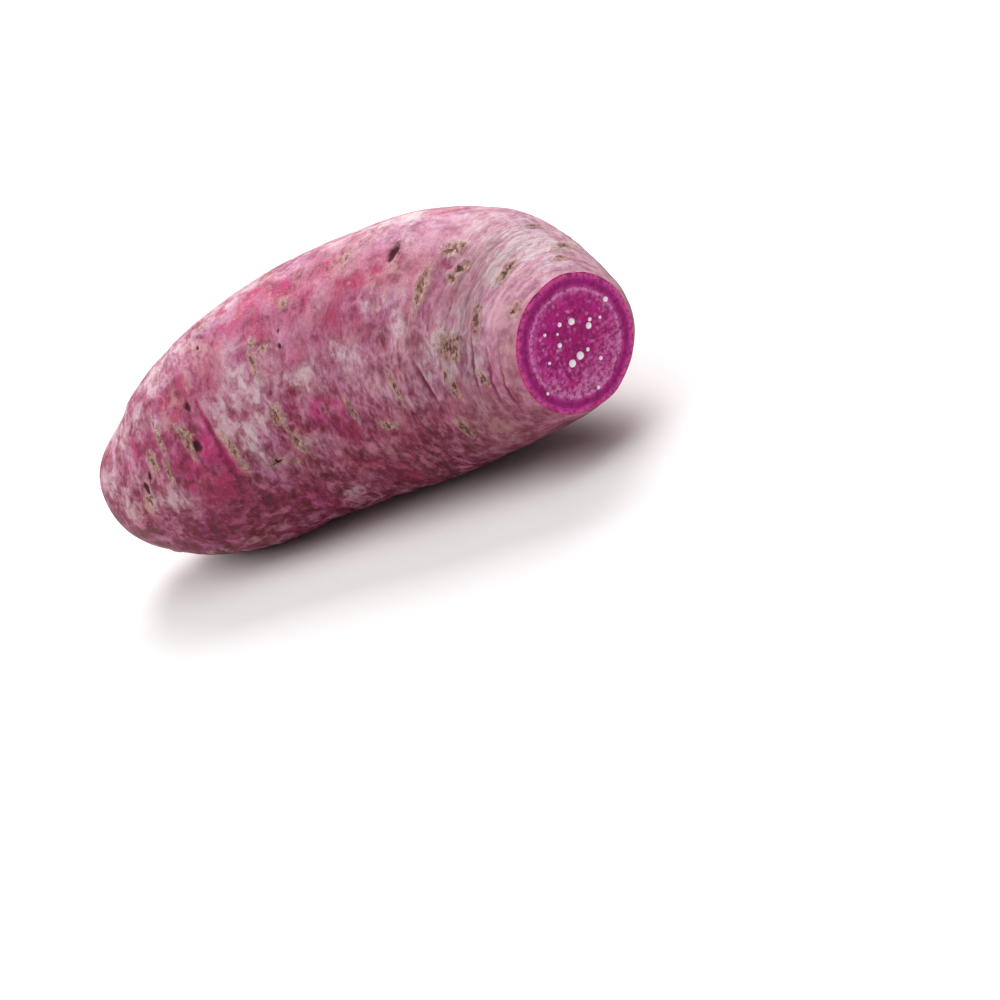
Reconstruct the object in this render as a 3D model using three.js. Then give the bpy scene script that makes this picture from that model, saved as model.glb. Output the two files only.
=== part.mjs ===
// A whole purple-fleshed sweet potato with its stem end sliced off, lying on its side.
//
// The storage root swelled and was dug up in one piece, so it is one solid: a body of revolution
// whose girth swells from a blunt root tip to a stout belly and narrows to the stem end, laid along
// a gently bent centre line. Low lobes run along it, growth creases ring it, shallow eyes dent it,
// and its soil side is pressed a little flat. A knife took the stem end off square to the centre
// line, which leaves a round flat face.
//
// Millimetres, +Z up. The tuber lies along X, root tip towards -X and cut face towards +X, with
// both ends bent towards -Y. The origin is on the surface that it lies on, under the middle of its
// box.

import * as THREE from "three";

// ---- Driving dimensions ----

const BELLY_RADIUS = 32.2; // at the stoutest point
const CUT_RADIUS = 16.4; // of the face that the knife left
const TIP_LENGTH = 32; // over which the blunt root tip rounds off
const PRESSED_BELOW = 1.2; // height over the flat, up to which the soil side gives way

// Points on the centre line, from the root tip to the middle of the cut face.
const CENTRE_LINE = [
  [-70, -19.5, 30.5],
  [-59, -15.5, 27],
  [-40.5, -9.5, 26],
  [-17, -1, 29],
  [6.5, 3, 31],
  [29.5, 1.5, 32],
  [48.5, -6, 30.2],
  [61.5, -16, 30.5],
];

// Girth as [share of the length, share of the belly's radius]. The tip's rounding comes on top.
const GIRTH = [
  [0, 0.68],
  [0.15, 0.79],
  [0.3, 0.91],
  [0.45, 0.975],
  [0.58, 1],
  [0.7, 0.98],
  [0.82, 0.88],
  [0.92, 0.69],
  [1, CUT_RADIUS / BELLY_RADIUS],
];

// Lobes that run along the body: how many stand round it, how high, how often they swell and sink
// along it, and where along and round it they start, in radians.
const LOBES = [
  { round: 2, height: 0.6, waves: 0.9, start: 0.4, turn: 0.9 },
  { round: 3, height: 0.45, waves: 1.6, start: 2.1, turn: 2.4 },
  { round: 5, height: 0.25, waves: 2.3, start: 0.9, turn: 4.0 },
];

// Growth creases: where each lies as a share of the length, how deep and wide it is, the angle
// that it is centred on and how far it reaches to each side of that. Angles are in degrees from
// the top, positive towards +Y.
const CREASES = [
  { at: 0.27, depth: 0.8, width: 2.4, middle: -55, reach: 85 },
  { at: 0.42, depth: 0.4, width: 2.8, middle: -70, reach: 60 },
  { at: 0.81, depth: 0.5, width: 2.6, middle: -80, reach: 65 },
  { at: 0.93, depth: 0.4, width: 2.2, middle: -40, reach: 150 },
  { at: 0.35, depth: 0.6, width: 2.6, middle: 120, reach: 75 },
  { at: 0.62, depth: 0.6, width: 2.6, middle: 95, reach: 80 },
  { at: 0.77, depth: 0.4, width: 2.8, middle: 50, reach: 70 },
];

// Shallow eyes, where fine roots grew: share of the length, angle as above, depth and width.
const EYES = [
  { at: 0.725, middle: -17, depth: 0.8, width: 3.0 },
  { at: 0.83, middle: -20, depth: 0.5, width: 3.4 },
  { at: 0.87, middle: -63, depth: 0.5, width: 4.0 },
  { at: 0.5, middle: -22, depth: 0.5, width: 3.6 },
  { at: 0.24, middle: -59, depth: 0.7, width: 3.0 },
  { at: 0.585, middle: -79, depth: 0.5, width: 3.2 },
  { at: 0.13, middle: -60, depth: 0.6, width: 3.2 },
  { at: 0.31, middle: 62, depth: 0.8, width: 3.4 },
  { at: 0.54, middle: 118, depth: 0.9, width: 3.6 },
  { at: 0.79, middle: 84, depth: 0.7, width: 3.2 },
  { at: 0.46, middle: 44, depth: 0.6, width: 3.2 },
  { at: 0.68, middle: 148, depth: 0.7, width: 3.4 },
  { at: 0.2, middle: 135, depth: 0.7, width: 3.2 },
];

// ---- Mesh fineness ----

const TIP_RINGS = 12; // over the rounded tip
const BODY_RINGS = 38; // from there to the cut
const CUT_RINGS = 3; // across the cut face
const SEGMENTS = 50; // round the body

// ---- The straight body, as a lathe profile ----

const centreLine = new THREE.CatmullRomCurve3(CENTRE_LINE.map((p) => new THREE.Vector3(...p)));
centreLine.arcLengthDivisions = 600;
const LENGTH = centreLine.getLength();

const girth = new THREE.CubicInterpolant(
  GIRTH.map(([share]) => share),
  GIRTH.map(([, part]) => part * BELLY_RADIUS),
  1,
);

function radiusAt(along) {
  const inTip = Math.min(along / TIP_LENGTH, 1);
  return girth.evaluate(along / LENGTH)[0] * Math.sqrt(1 - (1 - inTip) ** 2);
}

// The profile runs from the middle of the cut out to its rim, then along the skin to the root tip.
const profile = [];
for (let ring = 0; ring < CUT_RINGS; ring++) {
  profile.push(new THREE.Vector2((CUT_RADIUS * ring) / CUT_RINGS, LENGTH));
}
for (let ring = BODY_RINGS; ring > 0; ring--) {
  const along = THREE.MathUtils.lerp(TIP_LENGTH, LENGTH, ring / BODY_RINGS);
  profile.push(new THREE.Vector2(radiusAt(along), along));
}
for (let ring = TIP_RINGS; ring > 0; ring--) {
  const along = TIP_LENGTH * (1 - Math.cos((ring / TIP_RINGS) * (Math.PI / 2)));
  profile.push(new THREE.Vector2(radiusAt(along), along));
}
profile.push(new THREE.Vector2(0, 0));

// ---- What makes it a grown thing ----

const radians = THREE.MathUtils.degToRad;
const bell = (distance, width) => Math.exp(-((distance / width) ** 2));

// The smallest turn from one angle to another, in radians.
function turnBetween(a, b) {
  return Math.abs(Math.atan2(Math.sin(a - b), Math.cos(a - b)));
}

// How far the skin stands out from the plain round body, in mm.
function relief(along, angle) {
  const share = along / LENGTH;
  let height = 0;
  for (const lobe of LOBES) {
    const swell = Math.sin(2 * Math.PI * lobe.waves * share + lobe.start);
    height += lobe.height * swell * Math.cos(lobe.round * angle + lobe.turn);
  }
  for (const crease of CREASES) {
    const off = turnBetween(angle, radians(crease.middle));
    const fade = THREE.MathUtils.smoothstep(radians(crease.reach) - off, 0, radians(40));
    height -= crease.depth * fade * bell(along - crease.at * LENGTH, crease.width);
  }
  for (const eye of EYES) {
    const off = turnBetween(angle, radians(eye.middle)) * radiusAt(eye.at * LENGTH);
    height -= eye.depth * bell(Math.hypot(along - eye.at * LENGTH, off), eye.width);
  }
  // The relief dies out at the tip, where the rings are small, and towards the knife's plane.
  const atTip = THREE.MathUtils.smoothstep(along, 0, TIP_LENGTH / 2);
  const atCut = THREE.MathUtils.smoothstep(LENGTH - along, 0, 6);
  return height * atTip * (0.25 + 0.75 * atCut);
}

// The soil side gives way to a level patch at zero, which the skin above runs into tangentially.
function pressed(z) {
  if (z > PRESSED_BELOW) return z;
  return Math.max(z + PRESSED_BELOW, 0) ** 2 / (4 * PRESSED_BELOW);
}

// ---- Bend the straight body along the centre line ----

function tuberGeometry() {
  const geometry = new THREE.LatheGeometry(profile, SEGMENTS);
  geometry.deleteAttribute("normal");
  geometry.deleteAttribute("uv");
  const place = geometry.getAttribute("position");
  const up = new THREE.Vector3(0, 0, 1);
  for (let i = 0; i < place.count; i++) {
    const along = place.getY(i);
    const across = Math.hypot(place.getX(i), place.getZ(i));
    const angle = Math.atan2(place.getX(i), place.getZ(i));
    const share = Math.min(along / LENGTH, 1);
    const forward = centreLine.getTangentAt(share);
    const side = new THREE.Vector3().crossVectors(up, forward).normalize();
    const top = new THREE.Vector3().crossVectors(forward, side);
    const rim = radiusAt(along);
    const spread = rim > 0 ? across + (relief(along, angle) * across) / rim : 0;
    const point = centreLine.getPointAt(share);
    point.addScaledVector(top, spread * Math.cos(angle));
    point.addScaledVector(side, spread * Math.sin(angle));
    place.setXYZ(i, point.x, point.y, pressed(point.z));
  }
  return geometry;
}

const skin = new THREE.MeshStandardMaterial({ color: 0xa8688c, roughness: 0.6, metalness: 0 });
const tuber = new THREE.Mesh(tuberGeometry(), skin);
tuber.name = "tuber";

const sweetPotato = new THREE.Group();
sweetPotato.add(tuber);
export default sweetPotato;
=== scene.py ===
# A purple sweet potato with its stem end sliced off, lying on a pale table.
import math

import bmesh
import bpy
import numpy as np
from mathutils import Matrix, Vector, noise
from mathutils.bvhtree import BVHTree


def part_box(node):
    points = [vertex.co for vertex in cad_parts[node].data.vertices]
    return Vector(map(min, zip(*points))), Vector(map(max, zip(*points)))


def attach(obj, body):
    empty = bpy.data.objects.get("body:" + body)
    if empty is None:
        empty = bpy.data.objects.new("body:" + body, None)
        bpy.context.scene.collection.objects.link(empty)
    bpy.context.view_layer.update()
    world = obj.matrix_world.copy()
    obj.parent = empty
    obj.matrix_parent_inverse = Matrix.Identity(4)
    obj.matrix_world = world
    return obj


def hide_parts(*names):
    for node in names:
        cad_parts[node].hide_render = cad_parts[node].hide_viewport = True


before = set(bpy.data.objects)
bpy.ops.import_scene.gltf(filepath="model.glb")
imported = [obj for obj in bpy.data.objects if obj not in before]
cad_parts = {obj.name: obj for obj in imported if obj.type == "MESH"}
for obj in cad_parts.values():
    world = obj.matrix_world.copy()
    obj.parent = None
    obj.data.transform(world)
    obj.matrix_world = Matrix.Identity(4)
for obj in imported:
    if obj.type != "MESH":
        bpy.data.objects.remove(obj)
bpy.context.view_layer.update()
MM = 0.001

# ---- Camera ----
# A long lens, as for a product picture, that looks down along the bend towards the cut face. The
# camera is leant over, so the tuber climbs to the right, and is aimed low and to the right of it.

CAMERA_AZIMUTH = math.radians(29)
CAMERA_ELEVATION = math.radians(22.5)
CAMERA_LEAN = math.radians(28)
CAMERA_DISTANCE = 909 * MM
LENS = 135
AIMED_RIGHT = math.radians(2.08)
AIMED_DOWN = math.radians(2.01)

low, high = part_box("tuber")
middle = (Vector(low) + Vector(high)) / 2
camera = bpy.data.objects.new("camera", bpy.data.cameras.new("camera"))
bpy.context.scene.collection.objects.link(camera)
bpy.context.scene.camera = camera
camera.data.lens = LENS
camera.data.clip_end = 10
backward = Vector((
    math.sin(CAMERA_AZIMUTH) * math.cos(CAMERA_ELEVATION),
    -math.cos(CAMERA_AZIMUTH) * math.cos(CAMERA_ELEVATION),
    math.sin(CAMERA_ELEVATION),
))
level = (-backward).to_track_quat("-Z", "Y").to_matrix().to_4x4()
camera.matrix_world = (
    Matrix.Translation(middle + backward * CAMERA_DISTANCE)
    @ level
    @ Matrix.Rotation(-CAMERA_LEAN, 4, "Z")
    @ Matrix.Rotation(-AIMED_RIGHT, 4, "Y")
    @ Matrix.Rotation(-AIMED_DOWN, 4, "X")
)

# ---- The tuber ----
# One storage root: a thin corky skin over a purple cortex and flesh. It grew in the soil, which left
# growth rings, creases, root eyes and healed scars, and a knife took its stem end off. It is made as
# one closed net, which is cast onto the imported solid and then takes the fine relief.

# The line through its middle, from the root tip to the cut, in mm.
CENTRE_LINE = [
    (-70, -19.5, 30.5),
    (-59, -15.5, 27),
    (-40.5, -9.5, 26),
    (-17, -1, 29),
    (6.5, 3, 31),
    (29.5, 1.5, 32),
    (48.5, -6, 30.2),
    (61.5, -16, 30.5),
]
TIP_LENGTH = 32  # mm over which the root tip rounds off
ROUND = 264  # faces round the body
TIP_ROWS = 64
BODY_STEP = 0.58  # mm from row to row along the body
WRINKLED_STEP = 0.32  # mm, where the skin is wrinkled near the cut
WRINKLED_FROM = 0.8  # share of the length
STEP_CHANGES_OVER = 0.1  # share of the length
RIM_ROWS = 4
FACE_ROWS = 44
RIM_RADIUS = 0.25  # mm, of the edge that the knife left
NET_SOFTNESS = 4  # rows over which the solid's flat facets are smoothed out


def smoothstep(x, start, end):
    """0 before start, 1 after end, and a soft rise between them."""
    t = np.clip((x - start) / (end - start), 0, 1)
    return t * t * (3 - 2 * t)


def bell(distance, width):
    """1 at no distance, falling softly to nearly 0 at twice the width."""
    return np.exp(-((distance / width) ** 2))


def curve_through(points, steps):
    """Even steps along a centripetal Catmull-Rom curve: how far along each one is, and its point."""
    points = np.array(points, float)
    ends = 2 * points[[0, -1]] - points[[1, -2]]
    points = np.vstack([ends[:1], points, ends[1:]])
    fine = []
    for p0, p1, p2, p3 in zip(points, points[1:], points[2:], points[3:]):
        t1 = np.linalg.norm(p1 - p0) ** 0.5
        t2 = t1 + np.linalg.norm(p2 - p1) ** 0.5
        t3 = t2 + np.linalg.norm(p3 - p2) ** 0.5
        t = np.linspace(t1, t2, 60, endpoint=False)[:, None]
        a1 = (p0 * (t1 - t) + p1 * t) / t1
        a2 = (p1 * (t2 - t) + p2 * (t - t1)) / (t2 - t1)
        a3 = (p2 * (t3 - t) + p3 * (t - t2)) / (t3 - t2)
        b1 = (a1 * (t2 - t) + a2 * t) / t2
        b2 = (a2 * (t3 - t) + a3 * (t - t1)) / (t3 - t1)
        fine.append((b1 * (t2 - t) + b2 * (t - t1)) / (t2 - t1))
    fine = np.vstack(fine + [points[-2]])
    run = np.concatenate([[0], np.cumsum(np.linalg.norm(np.diff(fine, axis=0), axis=1))])
    even = np.linspace(0, run[-1], steps)
    line = np.stack([np.interp(even, run, fine[:, k]) for k in range(3)], axis=1)
    return even, line


along_line, line = curve_through(CENTRE_LINE, 800)
LENGTH = along_line[-1]
heading = np.gradient(line, along_line, axis=0)
heading /= np.linalg.norm(heading, axis=1)[:, None]


def frame_at(along):
    """The middle, the top, the side and the way forward of the body's ring at each place along it."""
    at = np.stack([np.interp(along, along_line, line[:, k]) for k in range(3)], axis=-1)
    forward = np.stack([np.interp(along, along_line, heading[:, k]) for k in range(3)], axis=-1)
    forward /= np.linalg.norm(forward, axis=-1)[..., None]
    side = np.cross([0, 0, 1], forward)
    side /= np.linalg.norm(side, axis=-1)[..., None]
    return at, np.cross(forward, side), side, forward


# The net's rows run from the root tip to the rim, over the rim, and across the cut to its middle.
tip = TIP_LENGTH * (1 - np.cos(np.linspace(0, math.pi / 2, TIP_ROWS, endpoint=False)))
fine = np.linspace(TIP_LENGTH, LENGTH - RIM_RADIUS, 2000)
wrinkled = smoothstep(fine / LENGTH, WRINKLED_FROM - STEP_CHANGES_OVER, WRINKLED_FROM)
step = BODY_STEP + (WRINKLED_STEP - BODY_STEP) * wrinkled
count = np.concatenate([[0], np.cumsum(np.diff(fine) / step[1:])])
body = np.interp(np.linspace(0, count[-1], int(count[-1]) + 1), count, fine)
along = np.concatenate([tip, body])
share = along / LENGTH
angle = np.linspace(-math.pi, math.pi, ROUND + 1)
turn = angle[:ROUND]

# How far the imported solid's surface stands from the centre line.
solid = BVHTree.FromObject(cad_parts["tuber"], bpy.context.evaluated_depsgraph_get())
at, top, side, _ = frame_at(along)
radius = np.zeros((len(along), ROUND))
for row in range(1, len(along)):
    start = Vector(at[row] * MM)
    for column, a in enumerate(turn):
        way = Vector(top[row] * math.cos(a) + side[row] * math.sin(a))
        radius[row, column] = solid.ray_cast(start, way)[3] / MM


def smoothed(field, rows, columns):
    """A softer copy of a field on the net, which joins up round the body and across the root tip."""
    reach = 3 * rows
    over_tip = -np.roll(field[1:reach + 1][::-1], ROUND // 2, axis=1)
    past_rim = 2 * field[-1] - field[-reach - 1:-1][::-1]
    field = np.vstack([over_tip, field, past_rim])
    weights = np.exp(-0.5 * (np.arange(-reach, reach + 1) / rows) ** 2)
    weights /= weights.sum()
    field = sum(w * field[k:len(field) - 2 * reach + k] for k, w in enumerate(weights))
    reach = 3 * columns
    weights = np.exp(-0.5 * (np.arange(-reach, reach + 1) / columns) ** 2)
    weights /= weights.sum()
    return sum(w * np.roll(field, k - reach, axis=1) for k, w in enumerate(weights))


def laid_straight(radius):
    """Each point of the skin with the body laid straight: mm along it, up and sideways from its middle."""
    run = np.repeat(along[:, None], ROUND, axis=1)
    return np.stack([run, radius * np.cos(turn), radius * np.sin(turn)], axis=-1)


radius = smoothed(radius, NET_SOFTNESS, NET_SOFTNESS)
radius[0] = 0
smooth_skin = laid_straight(radius)
SEED_STEP = 17.3  # how far apart in the noise two seeds are


def texture(size, round_size, octaves, seed):
    """Soft noise between about -1 and 1, with features of these sizes in mm along and round the body."""
    scaled = smooth_skin / [size, round_size, round_size] + seed * SEED_STEP
    values = [noise.fractal(point, 0.8, 2.0, octaves) for point in scaled.reshape(-1, 3).tolist()]
    return np.array(values).reshape(radius.shape)


# Marks on the skin. A scar has healed with cork, a wound shows pink under the lost skin, a pit is a
# dark hole, and a crease is a narrow fold. Each has its share of the length, its angle from the top
# in degrees, how far it runs round and along the body in mm, how many degrees it is turned, and how
# deep it is in mm. The first scar is where the thin tail root broke off.
MARKS = {
    "scar": [
        (0.026, 122, 7, 3.2, 0, 0.9), (0.1, -82, 4.6, 2.7, 20, 0.3), (0.136, -58, 5.8, 2.6, -8, 0.6),
        (0.162, -68, 6.2, 1.6, -6, 0.4), (0.166, -46, 10.8, 1.6, -4, 0.3),
        (0.217, -51, 5.5, 1.8, -35, 0.35), (0.219, -60, 5.3, 1.8, -8, 0.3),
        (0.284, -72, 10.3, 1.9, -4, 0.3), (0.332, -4, 2.6, 2.4, 0, 0.3), (0.339, -87, 1.5, 6.2, 5, 0.4),
        (0.381, -92, 1.8, 2.7, 0, 0.3), (0.402, -69, 5.1, 4.3, 25, 0.5), (0.404, -42, 8, 2, 6, 0.35),
        (0.413, -83, 8.3, 2, -12, 0.4), (0.416, -34, 2.8, 1.8, 0, 0.3), (0.431, -40, 1.4, 4.1, 0, 0.25),
        (0.445, 8, 3.4, 2.2, 10, 0.3), (0.491, -23, 3.4, 3, 10, 0.3), (0.571, -81, 6.9, 2.2, -5, 0.45),
        (0.621, 12, 1.1, 2.4, 0, 0.25), (0.624, -13, 5.8, 2, 7, 0.4), (0.637, -94, 2.2, 6.2, 15, 0.35),
        (0.658, 9, 2.3, 1.9, 0, 0.3), (0.709, -77, 9.7, 1.6, -15, 0.5), (0.782, -34, 10.3, 3.1, 6, 0.5),
        (0.809, -12, 5.3, 4.6, 15, 0.35), (0.826, -8, 2.5, 1.9, 30, 0.3),
        (0.836, -26, 2.3, 4.1, 0, 0.5), (0.844, -20, 5.1, 3, 30, 0.5), (0.845, -108, 7.4, 2.6, -5, 0.3),
        (0.845, -76, 3.4, 1.6, 20, 0.3), (0.86, -62, 6, 8.1, 20, 0.4),
        (0.861, -83, 5.3, 2.3, -20, 0.35), (0.872, 33, 5.8, 2, 0, 0.3), (0.878, -57, 2.3, 4.6, 0, 0.3),
        (0.922, -44, 8.5, 2.3, -15, 0.3), (0.929, 39, 9.2, 1.9, -22, 0.5), (0.93, -8, 7.1, 2, 1, 0.5),
        (0.934, -82, 4.6, 2, -30, 0.3), (0.962, 28, 3.9, 1.4, 0, 0.3), (0.984, -31, 3.4, 2.2, 0, 0.4),
    ],
    "wound": [
        (0.196, -31, 3.8, 2.6, 30, 0.2), (0.208, -42, 2, 3, 20, 0.25), (0.222, -38, 2.2, 2.8, 0, 0.3),
        (0.366, -2, 3, 3.2, 0, 0.3), (0.376, -5, 1.8, 2.4, 20, 0.35), (0.428, -5, 3.4, 5, -20, 0.25),
        (0.458, 9, 1.2, 2.4, 0, 0.3), (0.462, -11, 6, 1.6, -35, 0.25), (0.652, -28, 4.8, 6.4, 8, 0.3),
        (0.69, -25, 3.4, 4.4, 0, 0.25), (0.757, 17, 9, 2.6, 27, 0.3), (0.816, -20, 1.8, 3.4, 10, 0.5),
        (0.978, 7, 0.8, 1.6, 0, 0.2),
    ],
    "pit": [
        (0.103, -73, 3, 1.2, -12, 0.6), (0.118, -66, 2.8, 1, 15, 0.5), (0.231, -61, 3.3, 1.9, 0, 0.9),
        (0.245, -41, 2.4, 1.5, 0, 0.5), (0.312, -16, 1.4, 1.2, 0, 0.4), (0.341, -87, 0.9, 3.6, 5, 0.3),
        (0.468, -43, 1.7, 1.3, 0, 0.5), (0.474, -36, 1.3, 1, 0, 0.3), (0.715, -16, 5, 1.7, 11, 0.8),
    ],
    "crease": [
        (0.266, -60, 30, 1.5, 0, 0.5), (0.795, -80, 15, 1.5, -23, 0.8), (0.918, -72, 19, 1, 0, 0.3),
        (0.948, -82, 18, 1.1, 0, 0.3), (0.97, -92, 15, 0.9, 0, 0.25),
    ],
}
# Clouds of colour in the skin, placed in the same way but with no depth: magenta and crimson where
# the bloom has been rubbed away, thick pale bloom, and tan cork.
TINTS = {
    "magenta": [
        (0.064, -53, 6, 4, 0), (0.108, -44, 4.4, 4, 0), (0.185, -73, 4.6, 4, 0),
        (0.258, -65, 25, 4.6, 0), (0.38, -14, 10, 11, 20), (0.389, -12, 3.6, 4.6, 0),
        (0.425, -4, 7, 8, 0), (0.486, -16, 9.5, 6, 0), (0.515, -74, 4, 15, 0), (0.579, -4, 8, 5, 0),
        (0.861, -50, 3.4, 4, 0), (0.881, -28, 6.5, 6, 0), (0.884, -85, 6, 8, 0),
    ],
    "crimson": [
        (0.196, -31, 5, 5, 0), (0.225, -84, 13, 11, 0), (0.25, -25, 9, 6, 0), (0.33, -30, 9, 8, 0),
        (0.34, -33, 10, 6, 0), (0.34, -28, 10, 9, 0), (0.385, -104, 15, 11, 0), (0.385, -9, 6, 7, 0),
        (0.43, -27, 8, 9, 0), (0.455, -12, 8, 8, 0), (0.49, -24, 11, 11, 0), (0.5, -106, 11, 14, 0),
        (0.505, -20, 9, 10, 0), (0.519, -48, 9, 7, 0), (0.54, -31, 9, 9, 0), (0.548, -90, 8, 9, 0),
        (0.551, -23, 9, 9, 0), (0.56, -10, 7, 9, 0), (0.575, -22, 8, 9, 0), (0.593, -42, 9, 7, 0),
        (0.61, -27, 9, 8, 0), (0.657, -51, 8, 7, 0), (0.66, -104, 14, 20, 0), (0.66, -22, 9, 8, 0),
        (0.685, -18, 6, 9, 0), (0.705, -30, 6, 6, 0), (0.735, -30, 9, 6, 0), (0.763, -27, 9, 10, 0),
        (0.79, -21, 9, 10, 0), (0.8, -94, 8, 9, 0), (0.838, -38, 5, 5, 0), (0.86, -94, 6, 18, 0),
        (0.93, -100, 12, 6, 0),
    ],
    "bloom": [
        (0.02, -62, 14, 5, 0), (0.045, -85, 16, 8, 0), (0.06, 0, 40, 12, 0), (0.09, 16, 20, 18, 0),
        (0.13, -18, 14, 14, 0), (0.13, 2, 18, 16, 0), (0.14, -88, 12, 12, 0), (0.2, -4, 16, 22, 0),
        (0.22, 24, 20, 16, 0), (0.25, 8, 20, 22, 0), (0.305, -57, 10, 6, 0), (0.33, -72, 9, 6, 0),
        (0.34, 10, 18, 16, 0), (0.356, -47, 18, 5, 0), (0.37, 24, 20, 16, 0), (0.383, -59, 9, 6, 0),
        (0.43, 12, 14, 14, 0), (0.449, -90, 6, 10, 0), (0.49, -57, 7, 15, 0), (0.52, 26, 20, 16, 0),
        (0.61, -59, 7, 8, 0), (0.686, -37, 5, 6, 0), (0.7, 10, 12, 20, 0), (0.737, -49, 9, 6, 0),
        (0.767, -87, 6, 8, 0), (0.813, -63, 12, 6.5, 0), (0.85, -60, 12, 8, 0), (0.865, -72, 5, 6, 0),
        (0.869, -47, 13, 10, 0), (0.91, -70, 20, 9, 0), (0.91, 24, 28, 28, 0), (0.919, -9, 13, 9, 0),
    ],
    "tan": [
        (0.092, -84, 9, 8, 0), (0.185, -40, 5, 3, 0), (0.226, -32, 6, 4, 0), (0.232, -36, 2.6, 3.2, 0),
        (0.268, -28, 16, 2, 15), (0.28, -70, 13, 2.4, 0), (0.307, -20, 11, 4.6, 0),
        (0.363, 0, 2.6, 3.2, 0), (0.424, -82, 6, 4, 0), (0.603, -14, 6, 5, 0), (0.732, -25, 5, 4, 0),
        (0.839, -104, 5, 12, 0), (0.985, -66, 14, 2.6, 0),
    ],
}
HIDDEN_MARKS = 60  # more of them on the sides that the lists leave free
HIDDEN_TINTS = 70

draw = np.random.default_rng(7)
for _ in range(HIDDEN_MARKS):
    kind = draw.choice(["scar"] * 4 + ["pit", "wound", "crease"])
    place = draw.uniform(0.07, 0.95), draw.uniform(45, 230)
    size = draw.uniform(2.2, 8.0), draw.uniform(1.1, 2.2)
    if kind == "pit":  # pits are smaller than the rest
        size = size[0] * 0.45, size[1] * 0.7
    MARKS[kind].append((*place, *size, draw.normal(0, 20), draw.uniform(0.3, 0.6)))
for _ in range(HIDDEN_TINTS):
    kind = draw.choice(["crimson"] * 3 + ["magenta"] + ["bloom"] * 4 + ["tan"] * 2)
    place = draw.uniform(0.05, 0.97), draw.uniform(35, 240)
    TINTS[kind].append((*place, *draw.uniform(4, 14, 2), draw.normal(0, 20)))

# How far noise moves the edges of the marks and the clouds, along and round the body, in mm.
mark_edges = [0.4 * texture(2.2, 2.2, 3, seed) for seed in (1, 2)]
tint_edges = [3.2 * texture(6, 8, 4, seed) for seed in (8, 9)]


def distance_from(edges, at_share, degrees, round_size, along_size, turned):
    """How far each point is from a mark: 0 at its middle and 1 at its ragged edge."""
    off = np.arctan2(np.sin(turn - math.radians(degrees)), np.cos(turn - math.radians(degrees)))
    u = along[:, None] - at_share * LENGTH
    v = off * radius
    t = math.radians(turned)
    u, v = u * math.cos(t) - v * math.sin(t), u * math.sin(t) + v * math.cos(t)
    return np.hypot((u + edges[0]) / along_size, (v + 1.5 * edges[1]) / round_size) * 2


def closeness(far):
    """1 at a mark's middle, 0.5 at its edge, and 0 at twice its size and beyond."""
    return np.clip(1 - far / 2, 0, 1)


def dent(kind, far, deep):
    """The relief of a mark: its hollow, and the lip that stands round it."""
    if kind == "pit":
        return -deep * bell(far, 1.0) + 0.2 * deep * bell(far - 1.5, 0.4)
    if kind == "crease":
        return -deep * bell(far, 0.7) + 0.2 * deep * bell(far - 1.7, 0.7)
    if kind == "wound":
        return -0.7 * deep * (1 - smoothstep(far, 0.6, 1.2)) + 0.06 * bell(far - 1.3, 0.3)
    return deep * (0.55 * bell(far - 1.0, 0.4) - 0.9 * bell(far, 0.5)) * (1 + 1.5 * mark_edges[0])


masks = {kind: np.zeros(radius.shape) for kind in (*MARKS, *TINTS)}
relief = np.zeros(radius.shape)
for kind, marks_of_kind in MARKS.items():
    for *where, deep in marks_of_kind:
        far = distance_from(mark_edges, *where)
        masks[kind] = np.maximum(masks[kind], closeness(far))
        relief += dent(kind, far, deep)
for kind, clouds_of_kind in TINTS.items():
    for where in clouds_of_kind:
        masks[kind] = np.maximum(masks[kind], closeness(distance_from(tint_edges, *where)))

# Wrinkles are narrow valleys that run round the body. They crowd together towards the cut, and
# come and go elsewhere. Under them the body has low swellings and a fine pitted grain. In mm high:
SWELLINGS = 0.4
WIDE_WRINKLES = 0.07
NARROW_WRINKLES = 0.04
WIDE_NEAR_CUT = 0.14
NARROW_NEAR_CUT = 0.09
SUNK_NEAR_CUT = 0.18  # which makes up for the wrinkles there
PITTED_GRAIN = 0.05
USUAL = 0.8  # the wrinkles' usual value, from 0 in a valley to 1

near_cut = smoothstep(share, 0.76, 0.93)[:, None]
patchy = np.clip(0.5 + 0.8 * texture(16, 22, 2, 3), 0, 1)
wide = np.minimum(np.abs(texture(2.4, 20, 2, 4)) * 4, 1)
narrow = np.minimum(np.abs(texture(1.3, 13, 2, 5)) * 4, 1)
relief += SWELLINGS * texture(13, 15, 2, 6)
relief += WIDE_WRINKLES * (0.2 + patchy) * (wide - USUAL)
relief += near_cut * (WIDE_NEAR_CUT * wide + NARROW_NEAR_CUT * narrow - SUNK_NEAR_CUT)
relief += NARROW_WRINKLES * (1 - near_cut) * patchy * (narrow - USUAL)
relief += PITTED_GRAIN * texture(1.4, 1.6, 2, 7)
relief *= smoothstep(along, 0.2, 3.0)[:, None]  # none at the very tip, where the rows shrink to a point
radius = radius + relief

# Rim and cut face rows: how far each is in from the rim and how far it stands under the knife's plane.
rim_turn = np.linspace(0, math.pi / 2, RIM_ROWS + 1)[1:]
rim_in = RIM_RADIUS * (1 - np.cos(rim_turn))
rim_under = RIM_RADIUS * (1 - np.sin(rim_turn))
edge = radius[-1]
face_share = np.linspace(1, 0, FACE_ROWS + 1)[1:]
inner = edge - RIM_RADIUS
face_radius = np.vstack([edge - rim_in[:, None], face_share[:, None] * inner])
face_under = np.vstack([np.repeat(rim_under[:, None], ROUND, axis=1), np.zeros((FACE_ROWS, ROUND))])
face_x, face_y = face_radius * np.sin(turn), face_radius * np.cos(turn)
under_skin = edge - face_radius

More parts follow.
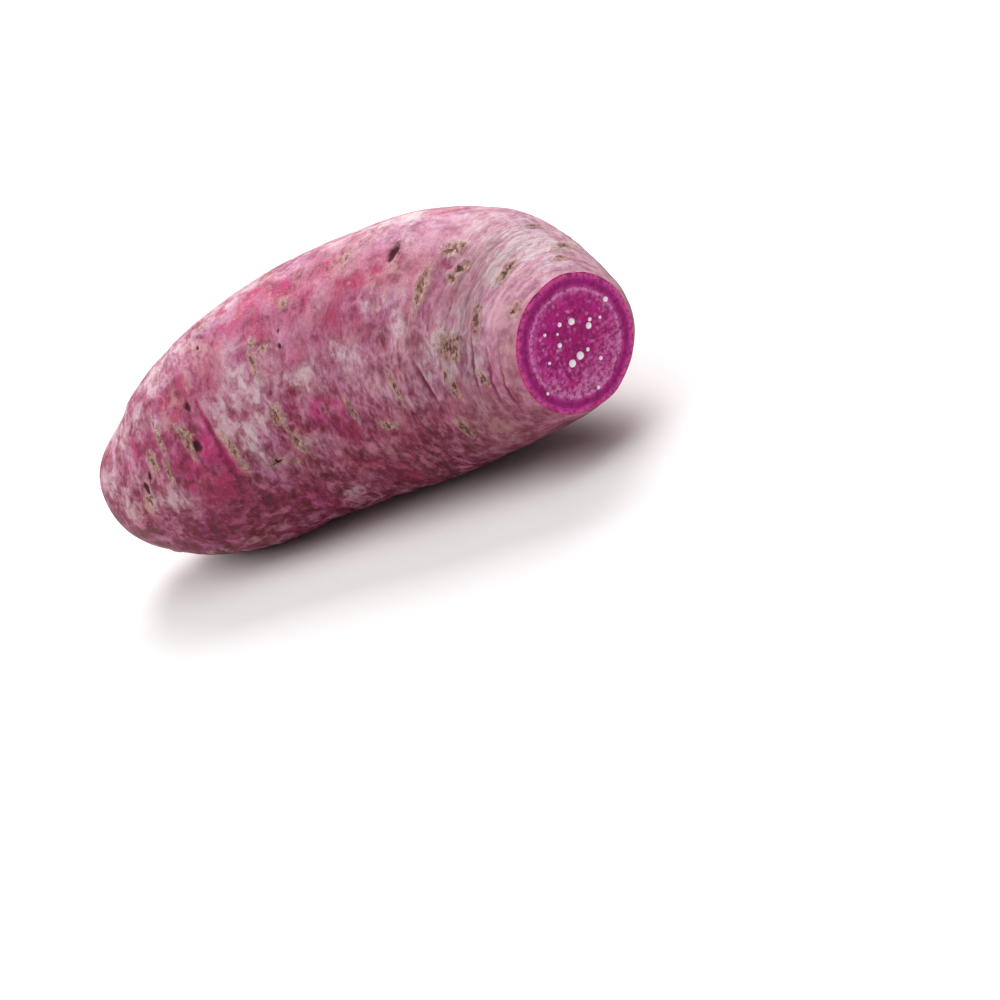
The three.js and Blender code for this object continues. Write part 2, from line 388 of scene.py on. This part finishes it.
# The knife's plane is not quite flat: it dips at the cambium ring and keeps the drag of the blade.
BLADE_WAY = Matrix.Rotation(math.radians(35), 3, "Z")
CAMBIUM_DEPTH = 4.0  # mm under the skin
WAVINESS = 0.06  # mm high, as the next three are
DRAG_LINES = 0.035
TORN_CELLS = 0.03
CAMBIUM_DIP = 0.07
FACE_SEED_STEP = 11.9

face_points = np.stack([face_x, face_y, np.zeros(face_x.shape)], axis=-1).reshape(-1, 3)


def face_texture(x_size, y_size, octaves, seed):
    """Noise across the cut face, along and across the way that the blade went, in mm."""
    scaled = face_points @ np.array(BLADE_WAY) / [x_size, y_size, 1] + seed * FACE_SEED_STEP
    values = [noise.fractal(point, 0.8, 2.0, octaves) for point in scaled.tolist()]
    return np.array(values).reshape(face_x.shape)


face_relief = WAVINESS * face_texture(7, 7, 2, 1) + DRAG_LINES * face_texture(14, 0.9, 2, 2)
face_relief += TORN_CELLS * face_texture(1.3, 1.3, 2, 3)
face_relief -= CAMBIUM_DIP * bell(under_skin - CAMBIUM_DEPTH, 0.4)
face_relief *= smoothstep(under_skin, 0.2, 1.2)

# Every row's place. A row starts on the underside and goes round to the underside again, where its
# two ends are merged.
round_over = np.append(np.arange(ROUND), 0)
outwards = top[:, None] * np.cos(turn)[:, None] + side[:, None] * np.sin(turn)[:, None]
skin_points = at[:, None] + radius[..., None] * outwards
skin_points[..., 2] = np.maximum(skin_points[..., 2], 0)
end, end_top, end_side, end_forward = (v[-1] for v in frame_at(along_line))
face_places = (
    end
    + (face_relief - face_under)[..., None] * end_forward
    + face_y[..., None] * end_top
    + face_x[..., None] * end_side
)
places = np.vstack([skin_points, face_places])[:, round_over] * MM

# What the materials read at each point: its place with the body laid straight, its closeness to
# each kind of mark and of cloud, as the red, green, blue and alpha of a colour, how far it lies in
# a hollow, and how deep under the skin it is.
FULL_HOLLOW = 0.15  # mm under what is round it
HOLLOW_REACH = 5  # rows


def over_net(on_skin, on_face):
    """A field of the skin and one of the cut face, as one field of the whole net."""
    return np.vstack([on_skin, on_face])[:, round_over]


no_marks = np.zeros((*face_x.shape, 4))
face_straight = np.stack([np.full(face_x.shape, LENGTH), face_y, face_x], axis=-1)
straight = over_net(laid_straight(radius), face_straight)
marks = over_net(np.stack([masks[kind] for kind in MARKS], axis=-1), no_marks)
tints = over_net(np.stack([masks[kind] for kind in TINTS], axis=-1), no_marks)
hollow = (smoothed(relief, HOLLOW_REACH, HOLLOW_REACH) - relief) / FULL_HOLLOW
hollow = over_net(np.clip(hollow, -1, 1), np.zeros(face_x.shape))
depth = over_net(np.zeros(radius.shape), under_skin)

# The map that a bake goes through: the skin is a rectangle, and the cut face a disc beside it.
SKIN_WIDTH = 0.67  # share of the map's width
MAP_EDGE = 0.004  # share of the map that stays free above and below the rectangle
DISC_GAP = 0.01  # share of the map's width that stays free beside the disc, both sides together

top_line = places[:len(along), ROUND // 2]
run = np.concatenate([[0], np.cumsum(np.linalg.norm(np.diff(top_line, axis=0), axis=1))])
map_places = np.zeros((*places.shape[:2], 2))
map_places[:len(along), :, 0] = (run / run[-1] * SKIN_WIDTH)[:, None]
map_places[:len(along), :, 1] = np.linspace(MAP_EDGE, 1 - MAP_EDGE, ROUND + 1)
disc = (1 - DISC_GAP - SKIN_WIDTH) / 2 / edge.max()
map_places[len(along):, :, 0] = SKIN_WIDTH + (1 - SKIN_WIDTH) / 2 + face_x[:, round_over] * disc
map_places[len(along):, :, 1] = 0.5 + face_y[:, round_over] * disc

SAME_PLACE = 0.0005 * MM

net = bmesh.new()
bake_map = net.loops.layers.uv.new("OFBake")
attributes = [
    (net.verts.layers.float_vector.new("straight"), straight.reshape(-1, 3).tolist()),
    (net.verts.layers.float_color.new("marks"), marks.reshape(-1, 4).tolist()),
    (net.verts.layers.float_color.new("tints"), tints.reshape(-1, 4).tolist()),
    (net.verts.layers.float.new("hollow"), hollow.ravel().tolist()),
    (net.verts.layers.float.new("under_skin"), depth.ravel().tolist()),
]
bmesh.ops.create_grid(net, x_segments=ROUND, y_segments=len(places) - 1, size=1)
net.verts.ensure_lookup_table()
flat_places = places.reshape(-1, 3).tolist()
flat_map = map_places.reshape(-1, 2).tolist()
for k, vertex in enumerate(net.verts):
    vertex.co = flat_places[k]
    for layer, values in attributes:
        vertex[layer] = values[k]
for k, face in enumerate(net.faces):
    face.smooth = True
    face.material_index = int(k // ROUND >= len(along) - 1)
    for loop in face.loops:
        loop[bake_map].uv = flat_map[loop.vert.index]
bmesh.ops.remove_doubles(net, verts=net.verts, dist=SAME_PLACE)
bmesh.ops.recalc_face_normals(net, faces=net.faces)
mesh = bpy.data.meshes.new("sweet_potato")
net.to_mesh(mesh)
net.free()
tuber = bpy.data.objects.new("sweet_potato", mesh)
bpy.context.scene.collection.objects.link(tuber)


def linear(colour):
    """An sRGB hex colour as the linear colour that a shader takes."""
    parts = (int(colour[k:k + 2], 16) / 255 for k in (1, 3, 5))
    return (*(c / 12.92 if c <= 0.04045 else ((c + 0.055) / 1.055) ** 2.4 for c in parts), 1)


def add(tree, kind, *inputs, out=0, ramp=(), sockets=None, **settings):
    """Adds a shader node with its settings, sets or links its inputs, and gives one output.

    A Mix node's numbers are its inputs 2 and 3, and its colours are inputs 6 and 7 and output 2.
    """
    node = tree.nodes.new("ShaderNode" + kind)
    for name, value in settings.items():
        setattr(node, name, value)
    if ramp:
        stops = node.color_ramp.elements
        stops.remove(stops[1])
        stops[0].position = ramp[0][0]
        for place, _ in ramp[1:]:
            stops.new(place)
        for stop, (_, colour) in zip(stops, ramp):
            stop.color = linear(colour)
    for name, value in {**dict(enumerate(inputs)), **(sockets or {})}.items():
        if isinstance(value, bpy.types.NodeSocket):
            tree.links.new(value, node.inputs[name])
        else:
            node.inputs[name].default_value = linear(value) if isinstance(value, str) else value
    return None if out is None else node.outputs[out]


def pattern(tree, along_mm, round_mm, detail=2.0, rough=0.5, bend=0.0):
    """Noise about 0.5 with features of these sizes in mm along and round the body."""
    unrolled = add(tree, "Attribute", attribute_name="straight", out="Vector")
    sizes = (1 / along_mm, 1 / round_mm, 1 / round_mm)
    place = add(tree, "Mapping", sockets={"Vector": unrolled, "Scale": sizes})
    values = {"Vector": place, "Scale": 1, "Detail": detail, "Roughness": rough, "Distortion": bend}
    return add(tree, "TexNoise", sockets=values, out="Fac")


def total(tree, *terms, start=0.0):
    """The sum of sockets, each less its middle value and times its weight: (socket, middle, weight)."""
    sum_so_far = start
    for socket, middle_value, weight in terms:
        part = add(tree, "Math", socket, middle_value, operation="SUBTRACT")
        sum_so_far = add(tree, "Math", part, weight, sum_so_far, operation="MULTIPLY_ADD")
    return sum_so_far


def coat(tree, under, over, value, start, full, most):
    """Lays one colour over another, the more the further a value rises, and gives how much too."""
    much = add(tree, "MapRange", value, start, full, 0, most, interpolation_type="SMOOTHSTEP")
    laid = add(tree, "Mix", much, data_type="RGBA", sockets={6: under, 7: over}, out=2)
    return laid, much


# Periderm: a dry, matt, papery cork skin a fraction of a millimetre thick, which scatters light and
# has hardly any gloss. It is wine red below, and a pale lilac bloom of dead cells lies over it in
# clouds and in fine rings. Its finest real grain is under 0.1 mm, too fine to show, and is drawn
# 0.4 mm wide.
WINES = [(0.32, "#74243e"), (0.44, "#8c2c50"), (0.56, "#923060"), (0.68, "#b0507e")]
RUBBED_MAGENTA = "#b43272"
RUBBED_CRIMSON = "#a02c4c"
BLOOMS = [(0.36, "#c49c9f"), (0.45, "#cba3ac"), (0.55, "#c49aad"), (0.66, "#bb8ea8")]
NECK_BLOOM = "#d6a2b6"
THICK_BLOOM = "#cdc0c1"
TAN_CORK = "#b38a7c"
# The colour of the painted shade that is multiplied over the lower side:
UNDERSIDE_SHADE = "#ac4a68"
LENTICEL = "#b59684"
SOIL = "#5b342e"
PEELED = [(0.34, "#8c2c48"), (0.45, "#a83c5e"), (0.60, "#b4506c"), (0.72, "#c08488")]
SCAR_FRINGE = "#c6b0a8"
SCAR_CORK = [(0.34, "#80503f"), (0.44, "#a0705e"), (0.55, "#bc9284"), (0.68, "#d0b0a4")]
SPLIT_CORK = "#552c20"
# The pits' near black: partly their own dark, and partly painted shade down in the hole.
PIT_AND_SHADE = "#3a0f16"
FOLD = "#7a1a3c"
NECK = (102, 126)  # mm along the body, over which the skin grows more even in colour
NECK_EVENNESS = 0.35  # how far it does
EVEN_COVER = 0.66  # the bloom's even cover
# How even the painted shade on the lower side grows at the neck:
EVEN_SHADE = 0.6
CROWDING = (95, 125)  # mm along the body, over which the growth rings crowd together
BODY_MIDDLE = 70  # mm along the body
CRACKLE_ALONG = 1.7  # mm, of the meshes in the crackle
CRACKLE_ROUND = 2.3  # mm

skin = bpy.data.materials.new("periderm")
skin.use_nodes = True
tree = skin.node_tree
tree.nodes.clear()

# Patterns from coarse to fine, by their size in mm along and round the body, and then what the
# skin is like at each point.
clouds = pattern(tree, 14, 16, 3, 0.55, 0.5)
hues = pattern(tree, 8, 11, 3, 0.6, 0.6)
mottle = pattern(tree, 3.4, 4.4, 3, 0.5, 0.5)
grain = pattern(tree, 1.3, 1.6, 3, 0.55, 0.3)
fibres = pattern(tree, 0.4, 2.4, 2, 0.5, 0.4)
specks = pattern(tree, 0.45, 0.55, 2, 0.6)
unrolled = add(tree, "Attribute", attribute_name="straight", out="Vector")
along_it = add(tree, "SeparateXYZ", unrolled, out="X")
round_it = add(tree, "VectorMath", unrolled, (0, 1, 1), operation="MULTIPLY")
round_it = add(tree, "VectorMath", round_it, operation="NORMALIZE")
upness = add(tree, "SeparateXYZ", round_it, out="Y")
marked = add(tree, "Attribute", attribute_name="marks", out="Color")
scarred = add(tree, "SeparateColor", marked, out="Red")
wounded = add(tree, "SeparateColor", marked, out="Green")
pitted = add(tree, "SeparateColor", marked, out="Blue")
folded = add(tree, "Attribute", attribute_name="marks", out="Alpha")
tinted = add(tree, "Attribute", attribute_name="tints", out="Color")
magenta = add(tree, "SeparateColor", tinted, out="Red")
crimson = add(tree, "SeparateColor", tinted, out="Green")
bloomed = add(tree, "SeparateColor", tinted, out="Blue")
tanned = add(tree, "Attribute", attribute_name="tints", out="Alpha")
sunk = add(tree, "Attribute", attribute_name="hollow", out="Fac")
neck = add(tree, "MapRange", along_it, *NECK, 0, NECK_EVENNESS)

# Growth rings: hair-fine lines round the body where a stretched noise crosses its middle value.
ring_noise = total(tree, (pattern(tree, 0.9, 11, 2, 0.5, 0.3), 0.5, 1.0))
ring_noise = add(tree, "Math", ring_noise, operation="ABSOLUTE")
rings = add(tree, "MapRange", ring_noise, 0.035, 0.0, 0, 1, interpolation_type="SMOOTHSTEP")
crowded = add(tree, "MapRange", along_it, *CROWDING, 0.0, 0.3)
ringed = total(tree, (clouds, 0.42, 2.0), (crowded, 0.0, 1.0))
ringed = add(tree, "Math", ringed, 1.0, operation="MINIMUM")
ringed = add(tree, "Math", ringed, 0.12, operation="MAXIMUM")
rings = add(tree, "Math", rings, ringed, operation="MULTIPLY")

# Crackle: a fine net of pale lines where the drying cork has split.
meshes = (1 / CRACKLE_ALONG, 1 / CRACKLE_ROUND, 1 / CRACKLE_ROUND)
cell = add(tree, "Mapping", sockets={"Vector": unrolled, "Scale": meshes})
cell_edge = add(
    tree, "TexVoronoi", feature="DISTANCE_TO_EDGE", out="Distance",
    sockets={"Vector": cell, "Scale": 1, "Detail": 1.5, "Roughness": 0.6},
)
crackle = add(tree, "MapRange", cell_edge, 0.09, 0.0, 0, 1, interpolation_type="SMOOTHSTEP")

# The skin under the bloom runs from brownish crimson through rose to magenta, and shows brighter
# where the bloom is rubbed away.
wine_at = total(tree, (hues, 0.5, 0.6), (grain, 0.5, 0.6), (mottle, 0.5, 0.6), start=0.5)
wine = add(tree, "ValToRGB", wine_at, ramp=WINES)
blotch = total(tree, (mottle, 0.5, 2.4), (grain, 0.5, 1.5), (fibres, 0.5, 0.5))
magenta_at = add(tree, "Math", magenta, blotch, operation="ADD")
wine, magenta_by = coat(tree, wine, RUBBED_MAGENTA, magenta_at, 0.2, 1.0, 0.8)
crimson_at = add(tree, "Math", crimson, blotch, operation="ADD")
wine, crimson_by = coat(tree, wine, RUBBED_CRIMSON, crimson_at, 0.25, 1.15, 0.68)

# The bloom is thickest on top, towards the cut and in its clouds, and breaks up into grains. Its
# thinning towards the lower side is partly the bloom's real lie and partly painted shade there, and
# it is thinner in hollows, so that they show darker.
above = add(tree, "MapRange", upness, -0.5, 0.4, -0.34, -0.14)
cover = total(
    tree,
    (clouds, 0.5, 1.4), (mottle, 0.5, 1.5), (grain, 0.5, 0.8), (fibres, 0.5, 0.3), (specks, 0.5, 0.3),
    (above, 0.0, 1.0), (along_it, BODY_MIDDLE, 0.0026), (rings, 0.0, -0.20), (crackle, 0.0, 0.10),
    (magenta_by, 0.0, -0.42), (crimson_by, 0.0, -0.36), (bloomed, 0.0, 0.36), (sunk, 0.0, -0.15),
)
covered = add(tree, "MapRange", cover, -0.62, 0.75, 0.0, 1.0, interpolation_type="SMOOTHSTEP")
covered = add(tree, "Mix", neck, data_type="FLOAT", sockets={2: covered, 3: EVEN_COVER})
dust = add(tree, "ValToRGB", pattern(tree, 12, 10, 4, 0.6, 0.6), ramp=BLOOMS)
dust = add(tree, "Mix", neck, data_type="RGBA", sockets={6: dust, 7: NECK_BLOOM}, out=2)
thick_at = add(tree, "Math", bloomed, blotch, operation="ADD")
dust, _ = coat(tree, dust, THICK_BLOOM, thick_at, 0.4, 1.1, 0.78)
colour = add(tree, "Mix", covered, data_type="RGBA", sockets={6: wine, 7: dust}, out=2)
tan_at = add(tree, "Math", tanned, blotch, operation="ADD")
colour, _ = coat(tree, colour, TAN_CORK, tan_at, 0.3, 1.2, 0.5)

# Painted shade darkens the lower side, in blots that grow even towards the cut. Lenticels, the skin's
# breathing pores, and grains of dried soil are specks.
blotted = total(tree, (mottle, 0.5, 1.1), (grain, 0.5, 0.7))
blotted = add(tree, "MapRange", blotted, 0.26, -0.26, 0.12, 1, interpolation_type="SMOOTHSTEP")
blotted = add(tree, "Mix", neck, data_type="FLOAT", sockets={2: blotted, 3: EVEN_SHADE})
shade_by = add(tree, "MapRange", upness, 0.7, -0.4, 0.0, 0.95)
shade_by = add(tree, "Math", shade_by, blotted, operation="MULTIPLY")
shade_mix = {0: shade_by, 6: colour, 7: UNDERSIDE_SHADE}
colour = add(tree, "Mix", data_type="RGBA", blend_type="MULTIPLY", sockets=shade_mix, out=2)
lenticels = add(tree, "MapRange", pattern(tree, 0.7, 1.6, 2, 0.6, 0.4), 0.64, 0.76, 0, 0.35)
colour = add(tree, "Mix", lenticels, data_type="RGBA", sockets={6: colour, 7: LENTICEL}, out=2)
soil = add(tree, "MapRange", pattern(tree, 0.6, 0.8, 2, 0.6), 0.68, 0.74, 0, 0.65)
colour = add(tree, "Mix", soil, data_type="RGBA", sockets={6: colour, 7: SOIL}, out=2)

# Marks fray with the grain. A scar has a pale fringe, corky crust in it, and splits in the crust.
frayed = total(tree, (pattern(tree, 0.8, 1.1, 4, 0.7, 0.4), 0.5, 1.5))
wound_at = total(tree, (wounded, 0.0, 1.0), (frayed, 0.0, 1.5))
peeled = add(tree, "ValToRGB", pattern(tree, 1.6, 2.4, 3, 0.5, 0.4), ramp=PEELED)
colour, wound_by = coat(tree, colour, peeled, wound_at, 0.36, 0.80, 0.85)
fringe_at = total(tree, (scarred, 0.0, 1.0), (blotch, 0.0, 0.45))
colour, _ = coat(tree, colour, SCAR_FRINGE, fringe_at, 0.25, 0.8, 0.38)
crust = pattern(tree, 1.0, 1.8, 3, 0.6, 0.4)
cork = add(tree, "ValToRGB", crust, ramp=SCAR_CORK)
scar_at = add(tree, "Math", scarred, frayed, operation="ADD")
colour, scar_by = coat(tree, colour, cork, scar_at, 0.26, 0.7, 0.75)
split_at = total(tree, (scar_at, 0.0, 1.0), (pattern(tree, 0.8, 1.5, 3, 0.6, 0.5), 0.5, 1.8))
colour, split_by = coat(tree, colour, SPLIT_CORK, split_at, 0.64, 1.0, 0.85)
# A pit is painted near black, which is partly its own dark and partly painted shade in the hole.
pit_at = total(tree, (pitted, 0.0, 1.0), (frayed, 0.0, 0.3))
colour, pit_by = coat(tree, colour, PIT_AND_SHADE, pit_at, 0.30, 0.60, 0.95)
colour, _ = coat(tree, colour, FOLD, folded, 0.4, 0.85, 0.85)

# The bump's height is in mm. Bloom is rougher than bare skin, and pits and wounds rougher still.
crusted = add(tree, "Math", crust, scar_by, operation="MULTIPLY")
height = total(
    tree,
    (fibres, 0.5, 0.08), (grain, 0.5, 0.22), (specks, 0.5, 0.09), (mottle, 0.5, 0.4), (frayed, 0.0, 0.03),
    (rings, 0.0, -0.07), (crackle, 0.0, -0.03), (crusted, 0.0, 0.35), (split_by, 0.0, -0.10),
)
bumps = add(tree, "Bump", sockets={"Height": height, "Distance": MM, "Strength": 1.0})
dryness = add(tree, "MapRange", covered, 0, 1, 0.5, 0.68)
roughness = total(tree, (dryness, 0.0, 1.0), (pit_by, 0.0, 0.3), (wound_by, 0.0, 0.1))
surface = add(tree, "BsdfPrincipled", sockets={
    "Base Color": colour,
    "Roughness": roughness,
    "Normal": bumps,
    "IOR": 1.45,
    "Specular IOR Level": 0.28,
})
add(tree, "OutputMaterial", surface, out=None)

# Raw flesh: wet, crisp storage tissue stained with violet pigment, smooth enough from the knife for
# a dull shine. A cortex lies under the skin, then the pale cambium ring, then starchy flesh flecked
# with lighter cells. Real cells are 0.1 mm wide, too fine to show, and are drawn as 1 mm clumps.
CUT_RADIUS = 16.4  # mm
FLESH_LAYERS = [
    (0.0, "#c43468"), (0.03, "#d6529e"), (0.07, "#c83c96"), (0.11, "#a6107a"), (0.16, "#9e0a70"),
    (0.20, "#bc3890"), (0.27, "#ca4c9c"), (0.37, "#ba1882"), (1.0, "#a6006c"),
]
PALE_FLESH = "#d880b8"
CELL_CLUSTER = "#dc92c8"
DARK_FLESH = "#78004c"
CLUSTERS_PER_MM = 0.62
FLAT = 1  # mm along the body, of any pattern on the cut, where it makes no difference

flesh = bpy.data.materials.new("raw_flesh")
flesh.use_nodes = True
tree = flesh.node_tree
tree.nodes.clear()
deep_in = add(tree, "Attribute", attribute_name="under_skin", out="Fac")
unrolled = add(tree, "Attribute", attribute_name="straight", out="Vector")
up_face = add(tree, "SeparateXYZ", unrolled, out="Y")
cells = pattern(tree, FLAT, 1.0, 2, 0.6, 0.4)
patches = pattern(tree, FLAT, 3.2, 3, 0.6, 0.6)
ripple = pattern(tree, FLAT, 2.4, 3, 0.6)
wavy = total(tree, (deep_in, 0.0, 1 / CUT_RADIUS), (ripple, 0.5, 0.05))
tissue = add(tree, "ValToRGB", wavy, ramp=FLESH_LAYERS)

# The cambium is a thin pale line. Inside it, soft pale clouds gather towards the lower edge.
inside = add(tree, "MapRange", deep_in, CAMBIUM_DEPTH - 0.1, CAMBIUM_DEPTH + 0.7, 0, 1)
off_ring = total(tree, (wavy, CAMBIUM_DEPTH / CUT_RADIUS, 1.0))
off_ring = add(tree, "Math", off_ring, operation="ABSOLUTE")
ring_by = add(tree, "MapRange", off_ring, 0.036, 0.010, 0, 1, interpolation_type="SMOOTHSTEP")
broken = add(tree, "MapRange", cells, 0.3, 0.6, 0.45, 1.0)
ring_by = add(tree, "Math", ring_by, broken, operation="MULTIPLY")
haze_by = total(tree, (patches, 0.5, 2.4), (cells, 0.5, 1.6), (up_face, 0.0, -0.045), (deep_in, 6.0, -0.05))
haze_by = add(tree, "MapRange", haze_by, -0.3, 0.9, 0, 0.8, interpolation_type="SMOOTHSTEP")
haze_by = add(tree, "Math", haze_by, inside, operation="MULTIPLY")
pale_by = add(tree, "Math", haze_by, ring_by, operation="MAXIMUM")
tissue = add(tree, "Mix", pale_by, data_type="RGBA", sockets={6: tissue, 7: PALE_FLESH}, out=2)

# Round clusters of starchy cells show in patches, and darker sap lies in between.
spaced = {"Vector": unrolled, "Scale": CLUSTERS_PER_MM, "Randomness": 1.0}
cluster = add(tree, "TexVoronoi", out="Distance", sockets=spaced)
cluster_by = add(tree, "MapRange", cluster, 0.42, 0.12, 0, 1, interpolation_type="SMOOTHSTEP")
gathered = add(tree, "MapRange", patches, 0.38, 0.62, 0, 0.7)
cluster_by = add(tree, "Math", cluster_by, gathered, operation="MULTIPLY")
cluster_by = add(tree, "Math", cluster_by, inside, operation="MULTIPLY")
tissue = add(tree, "Mix", cluster_by, data_type="RGBA", sockets={6: tissue, 7: CELL_CLUSTER}, out=2)
dark_at = total(tree, (cells, 0.5, 1.0), (ripple, 0.5, 0.8))
tissue, _ = coat(tree, tissue, DARK_FLESH, dark_at, 0.10, -0.20, 0.7)
height = total(tree, (cells, 0.5, 0.2), (pattern(tree, FLAT, 0.4, 2), 0.5, 0.1))
bumps = add(tree, "Bump", sockets={"Height": height, "Distance": MM})
surface = add(tree, "BsdfPrincipled", sockets={
    "Base Color": tissue,
    "Roughness": 0.42,
    "Normal": bumps,
    "IOR": 1.38,
    "Specular IOR Level": 0.25,
})
add(tree, "OutputMaterial", surface, out=None)

tuber.data.materials.append(skin)
tuber.data.materials.append(flesh)
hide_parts("tuber")
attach(tuber, "root")

# ---- Latex ----
# White sap, a milk of resin in water. It wells out of the cut vessels and stands on the fresh face
# in low beads, which dry to a smooth and glossy skin.

# Each bead's place across the cut face from its middle, sideways and up, and its width, in mm.
BEADS = [
    (1.5, 5.0, 1.7), (5.0, 1.5, 1.6), (6.0, 2.6, 1.0), (-0.5, -3.2, 2.0), (-3.2, -3.6, 1.9),
    (-1.6, 6.2, 1.1), (-4.0, 2.0, 1.2), (12.0, 4.2, 1.3), (2.0, -3.2, 1.0),
    (0.0, -12.6, 0.9), (-12.4, -5.8, 0.8), (4.0, -7.0, 1.0), (-6.2, 6.4, 0.8), (8.6, 1.4, 0.8),
    (-8.4, 0.0, 0.8), (-3.2, 4.6, 0.7),
]
BEAD_FLATNESS = 0.62  # a bead's height as a share of a round one's
BEAD_FOOT = 0.2  # share of its width below its middle, where the flesh cuts it off
BEAD_SUNK = 0.02  # mm
LATEX_WHITE = "#fcf6fa"

beads = bmesh.new()
for x, y, width in BEADS:
    made = bmesh.ops.create_icosphere(beads, subdivisions=3, radius=width / 2)
    for vertex in made["verts"]:
        up = max(vertex.co.z, -BEAD_FOOT * width) * BEAD_FLATNESS - BEAD_SUNK
        vertex.co = (
            Vector(end) + Vector(end_side) * (x + vertex.co.x) + Vector(end_top) * (y + vertex.co.y)
            + Vector(end_forward) * up
        ) * MM
bmesh.ops.recalc_face_normals(beads, faces=beads.faces)
for face in beads.faces:
    face.smooth = True
mesh = bpy.data.meshes.new("latex_beads")
beads.to_mesh(mesh)
beads.free()
latex_beads = bpy.data.objects.new("latex_beads", mesh)
bpy.context.scene.collection.objects.link(latex_beads)
latex = bpy.data.materials.new("latex")
latex.use_nodes = True
sap = latex.node_tree.nodes["Principled BSDF"]
sap.inputs["Base Color"].default_value = linear(LATEX_WHITE)
sap.inputs["Roughness"].default_value = 0.15
latex_beads.data.materials.append(latex)
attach(latex_beads, "root")

# ---- Table and light ----
# A table covered in matt white paper, with three wide soft lamps placed about the camera's view: the
# key lamp above and in front, a rim lamp above and behind, and a fill lamp at the left.

TABLE_REACH = 3  # m from its middle to its edge
PAPER_WHITE = "#e9e6e6"

table = bmesh.new()
bmesh.ops.create_grid(table, x_segments=1, y_segments=1, size=TABLE_REACH)
mesh = bpy.data.meshes.new("table")
table.to_mesh(mesh)
table.free()
table = bpy.data.objects.new("table", mesh)
bpy.context.scene.collection.objects.link(table)
paper = bpy.data.materials.new("matt_paper")
paper.use_nodes = True
paper_finish = paper.node_tree.nodes["Principled BSDF"]
paper_finish.inputs["Base Color"].default_value = linear(PAPER_WHITE)
paper_finish.inputs["Roughness"].default_value = 0.9
table.data.materials.append(paper)

view_up = camera.matrix_world.to_3x3() @ Vector((0, 1, 0))
view_right = camera.matrix_world.to_3x3() @ Vector((1, 0, 0))


def lamp(name, way, distance, size, power):
    """A square soft lamp that faces the tuber from this way, with sizes in metres and power in watts."""
    light = bpy.data.objects.new(name, bpy.data.lights.new(name, "AREA"))
    light.data.size = size
    light.data.energy = power
    light.location = middle + way.normalized() * distance
    light.rotation_mode = "QUATERNION"
    light.rotation_quaternion = (-way).to_track_quat("-Z", "Y")
    bpy.context.scene.collection.objects.link(light)


lamp("key", view_up * 0.8 + backward * 0.6 - view_right * 0.3, 1.1, 0.8, 5.2)
lamp("rim", view_up * 1.0 - backward * 0.3 - view_right * 0.2, 1.1, 0.8, 15)
lamp("fill", backward * 0.3 - view_right * 1.0 + view_up * 0.2, 1.3, 0.9, 12)
world = bpy.data.worlds.new("studio")
world.use_nodes = True
world.node_tree.nodes["Background"].inputs["Color"].default_value = linear("#ffffff")
world.node_tree.nodes["Background"].inputs["Strength"].default_value = 0.2
bpy.context.scene.world = world
bpy.context.scene.view_settings.view_transform = "Standard"
